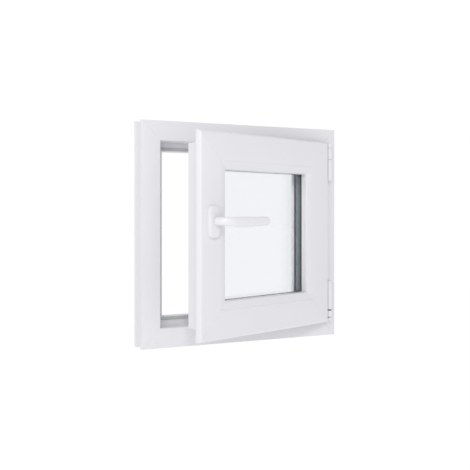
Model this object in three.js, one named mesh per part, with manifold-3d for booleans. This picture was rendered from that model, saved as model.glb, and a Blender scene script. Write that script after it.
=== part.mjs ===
// A white plastic tilt-and-turn casement window, seen from the room: X to the right, Y out of
// doors, Z up, in millimetres. The origin is on the underside of the sill's front leg, half way
// along it. The sash stands open on its right-hand hinges, with the handle level.
//
// Sections are drawn as (w, d): w is the distance in from the window's outer edge, d the depth
// behind the room face of the outer frame. Every side of the window is modelled lying along X
// with w upwards, and is then turned round the window's middle into its place.

import * as THREE from 'three';
import { mergeVertices } from 'three/addons/utils/BufferGeometryUtils.js';
import Module from 'manifold-3d';

const wasm = await Module();
wasm.setup();

// ---------------------------------------------------------------- driving dimensions

const WIDTH = 500;
const HEIGHT = 500;
const LEG = 10;                 // thickness of the front leg, which the origin is half way through
const GAP = 0.3;                // clearance kept between pieces that touch

const FRAME = { rebate: 44, lip: 65.5, lipFace: 45, depth: 60, groove: 3, rearLeg: [40, 47], cutBack: 6 };
const SASH = { lip: 33, face: 37, front: -18, lipRear: -4.5, rebate: 56, rear: 42, bead: 94.6,
  floor: 90.3, flange: 110, flangeFace: 33, sight: 113 };
const GLASS = { edge: 95, inner: 6, pane: 4, outer: 26, spacerIn: 107.5, spacerOut: 101 };

const HINGE = { w: 23, d: -12, radius: 6, pinRadius: 2.5, bore: 2.9 };
const OPEN_ANGLE = 20;          // degrees the sash stands open
const TILT_AXIS_Z = 45;
const BALL_RADIUS = 3.5;

const HANDLE = { w: 69.5, z: 279, screwSpacing: 21.5, spindle: 7 };
const GEAR = { radius: 9, teeth: 18, addendum: 0.9, dedendum: 1.2 };
const TRAVEL = GEAR.radius * Math.PI / 2;   // rod travel for a quarter turn of the handle

const CHANNEL = { from: 1.2, to: 17.8, plateTop: 55.8, plateBack: 57.2, mid: 9.5 };
const ROD = { top: 57.6, back: 59.3, from: 5.5, to: 13.5 };
const CAM = { radius: 4.5, stem: 2.75, tip: 47.5, under: 55.5 };

// ---------------------------------------------------------------- materials

const finish = (color, roughness, metalness = 0) =>
  new THREE.MeshStandardMaterial({ color, roughness, metalness });

const WHITE_PLASTIC = finish(0xecebf0, 0.35);
const WHITE_PAINT = finish(0xe4e4e8, 0.4);
const GREY_RUBBER = finish(0xb9bbbf, 0.8);
const DARK_RUBBER = finish(0x4a4d50, 0.85);
const ZINC_STEEL = finish(0xb9bcc0, 0.35, 0.9);
const GALVANISED = finish(0x9ea3a8, 0.55, 0.8);
const WARM_EDGE = finish(0x7d848c, 0.6);
const SEALANT = finish(0x33363a, 0.8);
const BLOCK_PLASTIC = finish(0x5c7fa8, 0.6);
const CLEAR_GLASS = finish(0xe8f0f0, 0.02);

// ---------------------------------------------------------------- building solids

const radians = THREE.MathUtils.degToRad;

// An outline through [x, y] points, where a third number rounds that corner off.
function outline(points) {
  const shape = new THREE.Shape();
  points.forEach(([x, y, radius = 0], i) => {
    const corner = new THREE.Vector2(x, y);
    const before = new THREE.Vector2(...points.at(i - 1)).sub(corner).setLength(radius).add(corner);
    const next = points[(i + 1) % points.length];
    const after = new THREE.Vector2(...next).sub(corner).setLength(radius).add(corner);
    if (i === 0) shape.moveTo(before.x, before.y);
    else shape.lineTo(before.x, before.y);
    if (radius > 0) shape.quadraticCurveTo(x, y, after.x, after.y);
  });
  return shape;
}

const rectangle = (x0, x1, y0, y1) => outline([[x0, y0], [x1, y0], [x1, y1], [x0, y1]]);

function section(points, chambers = []) {
  const shape = outline(points);
  shape.holes = chambers.map((chamber) => rectangle(...chamber));
  return shape;
}

const extrude = (shape, depth, options = {}) =>
  new THREE.ExtrudeGeometry(shape, { depth, bevelEnabled: false, curveSegments: 3, ...options });

// Carries a (w, d) section along X. endAt(w) is how far each end stands from the middle.
function bar(shape, endAt, middle = 0) {
  const geometry = extrude(shape, 1);
  const position = geometry.attributes.position;
  for (let i = 0; i < position.count; i++) {
    const [w, d, far] = [position.getX(i), position.getY(i), position.getZ(i)];
    position.setXYZ(i, middle + (far > 0.5 ? -1 : 1) * endAt(w), d, w);
  }
  return geometry;
}

const mitredBar = (shape, length) => bar(shape, (w) => length / 2 - w - GAP / 2);
const squareBar = (shape, from, to) => bar(shape, () => (to - from) / 2, (from + to) / 2);

// A closed solid from a grid of points: rows of equal length, each row a closed loop. The first
// row follows the last when the grid is a ring, and otherwise both ends are capped by a fan.
function gridSolid(rows, isRing) {
  const loop = rows[0].length;
  const points = rows.flat();
  const triangles = [];
  const bands = isRing ? rows.length : rows.length - 1;
  for (let r = 0; r < bands; r++) {
    for (let i = 0; i < loop; i++) {
      const a = r * loop + i;
      const b = r * loop + (i + 1) % loop;
      const c = ((r + 1) % rows.length) * loop + i;
      const d = ((r + 1) % rows.length) * loop + (i + 1) % loop;
      triangles.push([a, b, d], [a, d, c]);
    }
  }
  if (!isRing) {
    const last = (rows.length - 1) * loop;
    for (let i = 1; i < loop - 1; i++) {
      triangles.push([0, i + 1, i], [last, last + i, last + i + 1]);
    }
  }
  const volume = triangles.reduce((sum, [a, b, c]) =>
    sum + points[a].dot(new THREE.Vector3().crossVectors(points[b], points[c])), 0);
  const index = triangles.flatMap(([a, b, c]) => (volume > 0 ? [a, b, c] : [a, c, b]));
  return new THREE.BufferGeometry().setFromPoints(points).setIndex(index);
}

// A (w, d) section carried right round the window, with mitred corners.
function windowRing(points) {
  const corners = [[-1, -1], [1, -1], [1, 1], [-1, 1]];
  const rows = corners.map(([sx, sz]) => points.map(([w, d]) =>
    new THREE.Vector3(sx * (WIDTH / 2 - w), d - LEG / 2, HEIGHT / 2 + sz * (HEIGHT / 2 - w))));
  return gridSolid(rows, true);
}

function box(x0, x1, y0, y1, z0, z1) {
  return new THREE.BoxGeometry(x1 - x0, y1 - y0, z1 - z0)
    .translate((x0 + x1) / 2, (y0 + y1) / 2, (z0 + z1) / 2);
}

// A round bar standing along Z.
function post(x, y, radius, z0, z1, sides = 16) {
  return new THREE.CylinderGeometry(radius, radius, z1 - z0, sides)
    .rotateX(Math.PI / 2).translate(x, y, (z0 + z1) / 2);
}

const ball = (x, y, z, radius) => new THREE.SphereGeometry(radius, 14, 10).translate(x, y, z);

function toSolid(geometry) {
  const bare = geometry.clone();
  bare.deleteAttribute('normal');
  bare.deleteAttribute('uv');
  const merged = mergeVertices(bare, 1e-4);
  return new wasm.Manifold(new wasm.Mesh({
    numProp: 3,
    vertProperties: merged.attributes.position.array,
    triVerts: new Uint32Array(merged.index.array),
  }));
}

function toGeometry(solid) {
  const mesh = solid.getMesh();
  return new THREE.BufferGeometry()
    .setAttribute('position', new THREE.BufferAttribute(mesh.vertProperties, 3))
    .setIndex(new THREE.BufferAttribute(mesh.triVerts, 1));
}

// Joins the first list of shapes into one and cuts the second list out of it.
function carve(joined, cuts = []) {
  const body = joined.map(toSolid).reduce((sum, solid) => sum.add(solid));
  return toGeometry(cuts.map(toSolid).reduce((rest, cut) => rest.subtract(cut), body));
}

// ---------------------------------------------------------------- the scene's groups

const windowUnit = new THREE.Group();

const hingeX = WIDTH / 2 - HINGE.w;
const hingeY = HINGE.d - LEG / 2;

const hingeTurn = new THREE.Group();
hingeTurn.position.set(hingeX, hingeY, 0);
hingeTurn.rotation.z = radians(OPEN_ANGLE);
windowUnit.add(hingeTurn);

// Holds the sash and what moves with it, placed as in the shut window.
const sash = new THREE.Group();
sash.position.set(-hingeX, -hingeY, 0);
hingeTurn.add(sash);

// One group for each side, in which X runs along the side, Y is d and Z is w.
function sideGroups(parent) {
  const turns = { bottom: 0, left: Math.PI / 2, top: Math.PI, right: -Math.PI / 2 };
  const groups = {};
  for (const [side, turn] of Object.entries(turns)) {
    const centre = new THREE.Group();
    centre.position.set(0, -LEG / 2, HEIGHT / 2);
    centre.rotation.y = turn;
    const edge = new THREE.Group();
    edge.position.z = side === 'left' || side === 'right' ? -WIDTH / 2 : -HEIGHT / 2;
    centre.add(edge);
    parent.add(centre);
    groups[side] = edge;
  }
  return groups;
}

const frameSide = sideGroups(windowUnit);
const sashSide = sideGroups(sash);
const sideLength = { bottom: WIDTH, left: HEIGHT, top: WIDTH, right: HEIGHT };

// Where a height or an X of the window lies along a side's own X.
const alongLeft = (z) => HEIGHT / 2 - z;
const alongTop = (x) => -x;

const addTo = (group, name, geometry, material) => {
  const mesh = new THREE.Mesh(geometry, material);
  mesh.name = name;
  group.add(mesh);
};

// ---------------------------------------------------------------- outer frame

const frameSection = section([
  [0, 0, 0.8], [FRAME.rebate, 0, 1.5], [FRAME.rebate, FRAME.lipFace],
  [58.8, FRAME.lipFace], [58.8, 47.5], [62, 47.5], [62, FRAME.lipFace],
  [FRAME.lip, FRAME.lipFace, 1.2], [FRAME.lip, FRAME.depth, 1.2],
  [FRAME.cutBack, FRAME.depth, 0.5], [FRAME.cutBack, FRAME.rearLeg[1]],
  [0, FRAME.rearLeg[1], 0.5], [0, FRAME.rearLeg[0], 0.5], [FRAME.groove, FRAME.rearLeg[0]],
  [FRAME.groove, LEG], [0, LEG, 0.8],
], [
  [6.8, 41.2, 2.8, 11.5],
  [9, 41.2, 14.3, 41],
  [9, 41.2, 43.8, 57.2],
  [44, 62.7, 50.3, 57.2],
]);

const DRAIN = { x: 130, halfLength: 14, from: 46, to: 51, capDepth: 5 };

function frameBars() {
  const names = { left: 'frame_left_jamb', right: 'frame_right_jamb', top: 'frame_head' };
  for (const [side, name] of Object.entries(names)) {
    addTo(frameSide[side], name, mitredBar(frameSection, sideLength[side]), WHITE_PLASTIC);
  }
  const slots = [-DRAIN.x, DRAIN.x].map((x) => box(x - DRAIN.halfLength, x + DRAIN.halfLength,
    FRAME.depth - 4, FRAME.depth + 1, DRAIN.from, DRAIN.to));
  const sill = carve([mitredBar(frameSection, WIDTH)], slots);
  addTo(frameSide.bottom, 'frame_sill', sill, WHITE_PLASTIC);
}

// A galvanised channel pushed into the main chamber of each bar.
function channelSection(w0, w1, d0, d1, wall) {
  return outline([[w0, d0], [w1, d0], [w1, d1], [w1 - wall, d1], [w1 - wall, d0 + wall],
    [w0 + wall, d0 + wall], [w0 + wall, d1], [w0, d1]]);
}

function reinforcement() {
  const inFrame = channelSection(10.5, 39.5, 15.8, 39.5, 1.5);
  const inSash = channelSection(66.5, 86, 0, 28.5, 1.5);
  for (const side of ['left', 'right', 'top', 'bottom']) {
    const reach = sideLength[side] / 2 - 48;
    addTo(frameSide[side], `frame_steel_${side}`, squareBar(inFrame, -reach, reach), GALVANISED);
  }
  for (const side of ['right', 'top', 'bottom']) {
    const reach = sideLength[side] / 2 - 96;
    addTo(sashSide[side], `sash_steel_${side}`, squareBar(inSash, -reach, reach), GALVANISED);
  }
}

// Small hooded covers over the drainage slots on the weather face.
function drainCaps() {
  for (const [name, x] of [['drain_cap_left', -DRAIN.x], ['drain_cap_right', DRAIN.x]]) {
    const reach = DRAIN.halfLength + 3;
    const front = FRAME.depth + GAP;
    const hood = box(x - reach, x + reach, front, front + DRAIN.capDepth, 43, 54);
    const mouth = box(x - reach + 2, x + reach - 2, front - 1, front + 3, 40, 51.5);
    addTo(frameSide.bottom, name, carve([hood], [mouth]), WHITE_PLASTIC);
  }
}

// ---------------------------------------------------------------- sash

const sashSection = section([
  [SASH.lip, -9.5, 1], [SASH.face, SASH.front, 1.2], [SASH.bead, SASH.front, 1],
  [SASH.bead, -7.8], [SASH.floor, -7.8], [SASH.floor, SASH.flangeFace],
  [109, SASH.flangeFace, 0.8], [SASH.flange, 35], [108, SASH.rear, 1.5],
  [57, SASH.rear, 1.5], [SASH.rebate, 22], [SASH.rebate, CHANNEL.to],
  [57.5, CHANNEL.to], [57.5, 14.3], [62.2, 14.3], [62.2, 4.7], [57.5, 4.7],
  [57.5, CHANNEL.from], [SASH.rebate, CHANNEL.from], [SASH.rebate, SASH.lipRear],
  [39.9, SASH.lipRear], [39.9, -7], [36.9, -7], [36.9, SASH.lipRear], [SASH.lip, SASH.lipRear, 0.6],
], [
  [40.5, 91.8, -15.2, -9.8],
  [65, 87.4, -6.8, 30],
  [59.5, 87.4, 33, 39.2],
  [91, 106.5, 36, 39.4],
  [59, 62.2, 20.5, 30.2],
]);

function sashBars() {
  const names = { right: 'sash_right_stile', top: 'sash_top_rail', bottom: 'sash_bottom_rail' };
  for (const [side, name] of Object.entries(names)) {
    addTo(sashSide[side], name, mitredBar(sashSection, sideLength[side]), WHITE_PLASTIC);
  }
  const x = alongLeft(HANDLE.z);
  const through = (offset, radius) => new THREE.CylinderGeometry(radius, radius, 28, 16)
    .translate(x + offset, -8, HANDLE.w);
  const pocket = box(x - 36, x + 36, 3.9, 16.1, 57, 82.2);
  const holes = [through(0, 6), through(-HANDLE.screwSpacing, 2.9), through(HANDLE.screwSpacing, 2.9)];
  const stile = carve([mitredBar(sashSection, HEIGHT)], [pocket, ...holes]);
  addTo(sashSide.left, 'sash_left_stile', stile, WHITE_PLASTIC);
}

const beadSection = section([
  [SASH.bead + GAP, -17.4, 0.5], [111.6, -12.6, 1.5], [SASH.sight, -10, 1], [SASH.sight, 2.4],
  [SASH.floor + GAP, 2.4], [SASH.floor + GAP, -7.5], [SASH.bead + GAP, -7.5],
]);
beadSection.holes = [outline([[97.2, -14], [110.8, -10.2], [110.8, 0.2], [93, 0.2], [93, -5.2],
  [97.2, -5.2]])];

function glazing() {
  for (const side of ['left', 'right', 'top', 'bottom']) {
    const bead = mitredBar(beadSection, sideLength[side]);
    addTo(sashSide[side], `bead_${side}`, bead, WHITE_PLASTIC);
  }
  const pane = (d) => box(GLASS.edge - WIDTH / 2, WIDTH / 2 - GLASS.edge, d - LEG / 2,
    d + GLASS.pane - LEG / 2, GLASS.edge, HEIGHT - GLASS.edge);
  addTo(sash, 'glass_inner', pane(GLASS.inner), CLEAR_GLASS);
  addTo(sash, 'glass_outer', pane(GLASS.outer), CLEAR_GLASS);

  const front = GLASS.inner + GLASS.pane + GAP;
  const back = GLASS.outer - GAP;
  const between = (w0, w1) => [[w0, front], [w1, front], [w1, back], [w0, back]];
  const spacer = windowRing(between(GLASS.spacerOut, GLASS.spacerIn));
  addTo(sash, 'glass_spacer', spacer, WARM_EDGE);
  const seal = windowRing(between(GLASS.edge + GAP, GLASS.spacerOut - GAP));
  addTo(sash, 'glass_edge_seal', seal, SEALANT);

  const blocks = [['bottom', -95], ['bottom', 95], ['left', -95], ['right', -95]];
  blocks.forEach(([side, x], i) => {
    const block = box(x - 30, x + 30, GLASS.inner, GLASS.outer + GLASS.pane,
      SASH.floor + GAP, GLASS.edge - GAP);
    addTo(sashSide[side], `glazing_block_${i + 1}`, block, BLOCK_PLASTIC);
  });
}

// ---------------------------------------------------------------- seals

function seals() {
  // Weather seal with its foot in the groove of the frame's lip.
  const frameSeal = [[59.1, 47.2], [61.7, 47.2], [61.7, 44.7], [63.4, 44.3], [62.6, 42.7],
    [58.2, 42.5], [57.4, 44.2], [59.1, 44.7]];
  addTo(windowUnit, 'frame_gasket', windowRing(frameSeal), GREY_RUBBER);

  // Seal behind the sash's lip, notched where the two hinges pass it.
  const lipSeal = [[37.2, -6.7], [39.6, -6.7], [39.6, -4.2], [40.6, -3.6], [39.6, -1.6],
    [36.6, -1.4], [35.8, -3.6], [37.2, -4.2]];
  const notch = (z0, z1) => box(WIDTH / 2 - 45, WIDTH / 2 - 30, -20, 5, z0, z1);
  const sashSeal = carve([windowRing(lipSeal)], [notch(62, 133), notch(428, 456)]);
  const parts = toSolid(sashSeal).decompose();
  addTo(sash, 'sash_gasket', toGeometry(parts.sort((a, b) => b.volume() - a.volume())[0]),
    GREY_RUBBER);

  const beadSeal = [[108.5, 2.7], [113.2, 2.7], [113.6, 4.2], [113.2, 5.7], [108.5, 5.7]];
  addTo(sash, 'bead_gasket', windowRing(beadSeal), DARK_RUBBER);
  const flangeSeal = [[104.5, 30.3], [110.4, 30.3], [110.8, 31.5], [110.4, 32.7], [104.5, 32.7]];
  addTo(sash, 'flange_gasket', windowRing(flangeSeal), DARK_RUBBER);
}

// ---------------------------------------------------------------- hinges and stay

const BRACKET = { wide: 221.5, narrow: 230, x1: 234.5, back: -GAP, front: -3.3, webFront: -9 };
const TOP_HINGE = { z0: 376, z1: 465, armFrom: 427, armTo: 454 };
const LOWER_HINGE = { z0: 37, z1: 135, footTop: 62, cupTop: 43.5, bandFrom: 46.6, bandTo: 134 };
const STAY = { pivotX: -3, z0: 450, z1: 453, width: 16, eye: 5.5, strap: [-3.4, -0.9] };

const yOf = (d) => d - LEG / 2;

// A bracket's plate on the frame's face. It is narrow where a part of the sash turns past it.
const bracketPlate = (x0, z0, z1) =>
  box(x0, BRACKET.x1, yOf(BRACKET.front), yOf(BRACKET.back), z0, z1);
const bracketWeb = (z0, z1) =>
  box(hingeX, BRACKET.x1, yOf(BRACKET.webFront), yOf(BRACKET.back), z0, z1);
const knuckle = (z0, z1) => post(hingeX, hingeY, HINGE.radius, z0, z1);
const pinBore = (z0, z1) => post(hingeX, hingeY, HINGE.bore, z0, z1);

function topHinge() {
  const { z0, z1, armFrom, armTo } = TOP_HINGE;
  const lower = [z0, armFrom - 0.5];
  const upper = [armTo + 0.5, z1];
  const bracket = carve([bracketPlate(BRACKET.narrow, z0, z1), bracketPlate(BRACKET.wide, ...lower),
    bracketPlate(BRACKET.wide, ...upper), bracketWeb(...lower), bracketWeb(...upper),
    knuckle(...lower), knuckle(...upper)], [pinBore(z0 + 4, z1 + 1)]);
  addTo(windowUnit, 'top_hinge_bracket', bracket, WHITE_PAINT);
  addTo(windowUnit, 'top_hinge_pin', post(hingeX, hingeY, HINGE.pinRadius, z0 + 4.5, z1 + 1.5),
    ZINC_STEEL);
}

// Swings in over the sash when it tilts. Its strap passes between the sash's lip and the frame.
function stayArm() {
  const eyeY = yOf(CHANNEL.mid);
  const half = STAY.width / 2;
  const [strapFront, strapBack] = STAY.strap.map(yOf);
  const corner = WIDTH / 2 - FRAME.rebate - 2;
  const flat = new THREE.Shape();
  flat.moveTo(STAY.pivotX, eyeY - half);
  flat.lineTo(corner - 12, eyeY - half);
  flat.lineTo(corner - 12, strapFront);
  flat.lineTo(corner, strapFront);
  flat.lineTo(corner, eyeY + half);
  flat.lineTo(STAY.pivotX, eyeY + half);
  flat.absarc(STAY.pivotX, eyeY, half, Math.PI / 2, Math.PI * 1.5, false);
  const arm = extrude(flat, STAY.z1 - STAY.z0, { curveSegments: 8 }).translate(0, 0, STAY.z0);
  const { armFrom, armTo } = TOP_HINGE;
  const strap = box(199, hingeX, strapFront, strapBack, armFrom + 4, armTo - 0.5);
  const web = box(hingeX - 5, hingeX + 2, hingeY + 3.6, strapBack, armFrom, armTo);
  const eye = post(STAY.pivotX, eyeY, STAY.eye, STAY.z0 - 1, STAY.z1 + 1);
  const geometry = carve([arm, strap, web, knuckle(armFrom, armTo)],
    [pinBore(armFrom - 1, armTo + 1), eye]);
  addTo(sash, 'stay_arm', geometry, ZINC_STEEL);

  const pivotFoot = box(STAY.pivotX - 14, STAY.pivotX + 14, yOf(5), yOf(14),
    HEIGHT - CHANNEL.plateTop + GAP, HEIGHT - 53.6);
  const pivotPin = post(STAY.pivotX, eyeY, HINGE.pinRadius, HEIGHT - 54, HEIGHT - 46.4);
  addTo(sash, 'stay_pivot', carve([pivotFoot, pivotPin]), ZINC_STEEL);
}

// The sash's weight stands on a ball between a cup on the frame and a socket in the band.
function lowerHinge() {
  const { z0, z1, footTop, cupTop, bandFrom, bandTo } = LOWER_HINGE;
  const socket = ball(hingeX, hingeY, TILT_AXIS_Z, BALL_RADIUS + 0.4);
  const bracket = carve([bracketPlate(BRACKET.narrow, z0, z1), bracketPlate(BRACKET.wide, z0, footTop),
    bracketWeb(z0, cupTop), post(hingeX, hingeY, 6.5, z0, cupTop)], [socket]);
  addTo(windowUnit, 'lower_hinge_bracket', bracket, WHITE_PAINT);
  addTo(windowUnit, 'lower_hinge_ball', ball(hingeX, hingeY, TILT_AXIS_Z, BALL_RADIUS), ZINC_STEEL);

  const foot = WIDTH / 2 - SASH.rebate + GAP;
  const strap = outline([[foot, yOf(-3.9)], [hingeX + 1, yOf(-3.9)], [hingeX + 1, yOf(-1.4)],
    [foot + 2.2, yOf(-1.4)], [foot + 2.2, yOf(19)], [foot, yOf(19)]]);
  const web = box(hingeX - 5, hingeX + 1, hingeY + 3.6, yOf(-1.4), 66, 128);
  const band = carve([knuckle(bandFrom, bandTo), web, extrude(strap, 62).translate(0, 0, 66)],
    [socket]);
  addTo(sash, 'lower_hinge_band', band, WHITE_PAINT);
}

// ---------------------------------------------------------------- locking gear

const CAM_PLACES = { left: [], top: [alongTop(-100)], bottom: [-100] };
const CORNER_LEG = 60;
const slotHalf = TRAVEL + CAM.stem + 0.6;

// A thin strip in the sash's groove, with a slot for each cam to travel in.
function facePlate(side, name, from, to) {
  const { plateTop, plateBack, mid } = CHANNEL;
  const strip = box(from, to, CHANNEL.from + 0.4, CHANNEL.to - 0.4, plateTop, plateBack);
  const slots = CAM_PLACES[side].map((x) =>
    box(x - slotHalf, x + slotHalf, mid - 3.4, mid + 3.4, plateTop - 1, plateBack + 1));
  addTo(sashSide[side], name, carve([strip], slots), ZINC_STEEL);
}

function facePlates() {
  const cornerEnd = WIDTH / 2 - CHANNEL.plateTop - CORNER_LEG - 0.5;
  facePlate('left', 'faceplate_left', -cornerEnd, cornerEnd);
  facePlate('top', 'faceplate_top', -176, cornerEnd);
  facePlate('bottom', 'faceplate_bottom', -cornerEnd, 40);
}

// An angle in the groove round each handle-side corner, over the strip that turns the corner.
function cornerDrives() {
  const a = CHANNEL.plateTop;
  const b = CHANNEL.plateBack;
  for (const [name, isTop] of [['corner_drive_top', true], ['corner_drive_bottom', false]]) {
    const z = (w) => (isTop ? HEIGHT - w : w);
    const x = (w) => w - WIDTH / 2;
    const angle = outline([[x(a), z(a)], [x(a + CORNER_LEG), z(a)], [x(a + CORNER_LEG), z(b)],
      [x(b), z(b)], [x(b), z(a + CORNER_LEG)], [x(a), z(a + CORNER_LEG)]]);
    const width = CHANNEL.to - CHANNEL.from - 0.8;
    const geometry = extrude(angle, width).rotateX(Math.PI / 2)
      .translate(0, yOf(CHANNEL.to - 0.4), 0);
    addTo(sash, name, geometry, ZINC_STEEL);
  }
}

// The outline of a rod seen from the side, with rack teeth centred on rackX if it has any.
function rodOutline(from, to, rackX) {
  const points = [[from, ROD.top], [to, ROD.top], [to, ROD.back]];
  if (rackX !== undefined) {
    const pitch = Math.PI * 2 * GEAR.radius / GEAR.teeth;
    const tip = ROD.back + GEAR.addendum + GEAR.dedendum;
    for (let k = 5.5; k >= -5.5; k--) {
      const x = rackX + k * pitch;
      points.push([x + 0.95, ROD.back], [x + 0.3, tip], [x - 0.3, tip], [x - 0.95, ROD.back]);
    }
  }
  points.push([from, ROD.back]);
  return outline(points);
}

function camAt(x) {
  const profile = [[0, CAM.tip], [CAM.radius - 0.8, CAM.tip], [CAM.radius, CAM.tip + 0.8],
    [CAM.radius, CAM.under], [CAM.stem, CAM.under], [CAM.stem, ROD.top + 0.5], [0, ROD.top + 0.5]];
  return new THREE.LatheGeometry(profile.map((p) => new THREE.Vector2(...p)), 14)
    .rotateX(Math.PI / 2).translate(x, CHANNEL.mid, 0);
}

function driveRod(side, from, to, rackX) {
  const strip = extrude(rodOutline(from, to, rackX), ROD.to - ROD.from)
    .rotateX(Math.PI / 2).translate(0, ROD.to, 0);
  const rod = carve([strip, ...CAM_PLACES[side].map(camAt)]);
  addTo(sashSide[side], `drive_rod_${side}`, rod, ZINC_STEEL);
}

function driveRods() {
  driveRod('left', alongLeft(365), alongLeft(135), alongLeft(HANDLE.z));
  driveRod('top', 68, 126);
  driveRod('bottom', -126, -68);
}

// A keep screwed into the frame's rebate. The cam slides in behind its lug when the window locks.
function keep(side, name, x, holdsTilt) {
  const plate = box(x - 30, x + (holdsTilt ? 30 : 22), 1.5, 18, FRAME.rebate + GAP, 46.5);
  const lug = (from, to) => box(from, to, -0.6, 3.3, 45.5, 52.8);
  const lugs = [lug(x - 26, x - 6.6)];
  if (holdsTilt) lugs.push(lug(x + 6.6, x + 26));
  addTo(frameSide[side], name, carve([plate, ...lugs]), ZINC_STEEL);
}

function keeps() {
  keep('top', 'keep_head', CAM_PLACES.top[0], false);
  keep('bottom', 'keep_sill', CAM_PLACES.bottom[0], true);
}

// ---------------------------------------------------------------- handle and its gear

// Handle space: X along the lever, Y up, Z out into the room from the sash's face.
const handle = new THREE.Group();
handle.position.set(HANDLE.w - WIDTH / 2, yOf(SASH.front), HANDLE.z);
handle.rotation.x = Math.PI / 2;
sash.add(handle);

const outOf = (d) => SASH.front - d;

function roundedPlate(halfWidth, halfHeight, radius) {
  return outline([[-halfWidth, -halfHeight, radius], [halfWidth, -halfHeight, radius],
    [halfWidth, halfHeight, radius], [-halfWidth, halfHeight, radius]]);
}

const COVER = { halfWidth: 17, halfHeight: 34, height: 10, corner: 10, wall: 2 };
const SCREW = { head: 4.2, shank: 2.3, seat: 5.6, headHeight: 2 };
const screwPlaces = { lower: -HANDLE.screwSpacing, upper: HANDLE.screwSpacing };

function rosette() {
  const { halfWidth, halfHeight, height, corner, wall } = COVER;
  const edge = 1.5;
  const outer = extrude(roundedPlate(halfWidth - edge, halfHeight - edge, corner - edge),
    height - edge - GAP, { bevelEnabled: true, bevelSize: edge, bevelThickness: edge,
      bevelSegments: 2, curveSegments: 5 }).translate(0, 0, GAP);
  const below = box(-40, 40, -50, 50, -10, GAP);
  const hollow = extrude(roundedPlate(halfWidth - wall, halfHeight - wall, corner - wall),
    height, { curveSegments: 5 }).translate(0, 0, -wall);
  const cover = carve([outer], [below, hollow, post(0, 0, 5.8, -1, height + 5)]);
  addTo(handle, 'handle_cover', cover, WHITE_PLASTIC);

  const base = extrude(roundedPlate(halfWidth - 2.5, halfHeight - 3, 7), 5).translate(0, 0, GAP);
  const screwHoles = Object.values(screwPlaces).map((y) => post(0, y, 2.9, -1, 8));
  addTo(handle, 'handle_base', carve([base], [post(0, 0, 5.8, -1, 8), ...screwHoles]), ZINC_STEEL);

  const tip = outOf(11);
  for (const [place, y] of Object.entries(screwPlaces)) {
    const profile = [[0, tip], [SCREW.shank, tip], [SCREW.shank, SCREW.seat],
      [SCREW.head, SCREW.seat], [SCREW.head, SCREW.seat + SCREW.headHeight],
      [0, SCREW.seat + SCREW.headHeight]];
    const screw = new THREE.LatheGeometry(profile.map((p) => new THREE.Vector2(...p)), 12)
      .rotateX(Math.PI / 2).translate(0, y, 0);
    addTo(handle, `handle_screw_${place}`, screw, ZINC_STEEL);
  }
}

// The lever leaves the rosette square to the sash, bends over and runs level. Its section is an
// oval that widens from the neck to the middle of the grip and narrows a little to the tip.
const LEVER = { foot: 10.4, reach: 42, bend: 34, length: 130 };

function lever() {
  const { foot, reach, bend, length } = LEVER;
  const path = new THREE.CurvePath();
  const corner = new THREE.Vector3(bend, 0, reach);
  path.add(new THREE.CubicBezierCurve3(new THREE.Vector3(0, 0, foot), new THREE.Vector3(0, 0, 31),
    new THREE.Vector3(8, 0, reach), corner));
  path.add(new THREE.LineCurve3(corner, new THREE.Vector3(length, 0, reach - 1)));
  const steps = 22;
  const sides = 14;
  const smooth = THREE.MathUtils.smoothstep;
  const rows = [];
  for (let k = 0; k <= steps; k++) {
    const t = k / steps;
    const centre = path.getPointAt(t);
    const along = path.getTangentAt(t);
    const across = new THREE.Vector3(along.z, 0, -along.x);
    const endRound = Math.sqrt(1 - Math.max(0, (t - 0.94) / 0.06) ** 2 * 0.8);
    const halfHigh = (7.8 + 2.5 * smooth(t, 0.12, 0.4) - 1.5 * smooth(t, 0.6, 1)) * endRound;
    const halfThick = (7.2 - 2 * smooth(t, 0.12, 0.5)) * endRound;
    rows.push(Array.from({ length: sides }, (_, i) => {
      const angle = 2 * Math.PI * i / sides;
      return centre.clone().addScaledVector(across, halfThick * Math.cos(angle))
        .add(new THREE.Vector3(0, halfHigh * Math.sin(angle), 0));
    }));
  }
  addTo(handle, 'handle_lever', gridSolid(rows, false), WHITE_PAINT);
}

// The square spindle turns a toothed wheel in the gearbox, which drives the rack on the rod.
function gearTrain() {
  const half = HANDLE.spindle / 2;
  const spindle = box(-half, half, -half, half, outOf(12.8), LEVER.foot - GAP);
  addTo(handle, 'handle_spindle', spindle, ZINC_STEEL);

  const wheel = new THREE.Shape();
  const rootRadius = GEAR.radius - GEAR.dedendum;
  const tipRadius = GEAR.radius + GEAR.addendum;
  for (let k = 0; k < GEAR.teeth; k++) {
    const middle = Math.PI + 2 * Math.PI * k / GEAR.teeth;
    const corners = [[rootRadius, -0.85], [tipRadius, -0.3], [tipRadius, 0.3], [rootRadius, 0.85]];
    for (const [radius, offset] of corners) {
      const angle = middle + offset / radius;
      const point = [radius * Math.cos(angle), radius * Math.sin(angle)];
      if (k === 0 && offset === -0.85) wheel.moveTo(...point);
      else wheel.lineTo(...point);
    }
  }
  const square = half + 0.35;
  wheel.holes = [rectangle(-square, square, -square, square)];
  addTo(handle, 'gear_pinion', extrude(wheel, 6).translate(0, 0, outOf(13)), ZINC_STEEL);

  const inward = 61.9 - HANDLE.w;
  const housing = box(inward, 12.2, -35, 35, outOf(15.6), outOf(4.4));
  const cuts = [post(0, 0, tipRadius + 0.6, outOf(13.4), outOf(6.6), 24),
    post(0, 0, 5.6, outOf(7), outOf(3)),
    ...Object.values(screwPlaces).map((y) => post(0, y, 2.9, outOf(12), outOf(3)))];
  addTo(handle, 'gearbox', carve([housing], cuts), ZINC_STEEL);
}

// ---------------------------------------------------------------- assembly

frameBars();
reinforcement();
drainCaps();
sashBars();
glazing();
seals();
topHinge();
stayArm();
lowerHinge();
facePlates();
cornerDrives();
driveRods();
keeps();
rosette();
lever();
gearTrain();

export default windowUnit;
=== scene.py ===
"""A white tilt-and-turn casement window, standing open on its hinges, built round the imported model."""

import math

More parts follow.
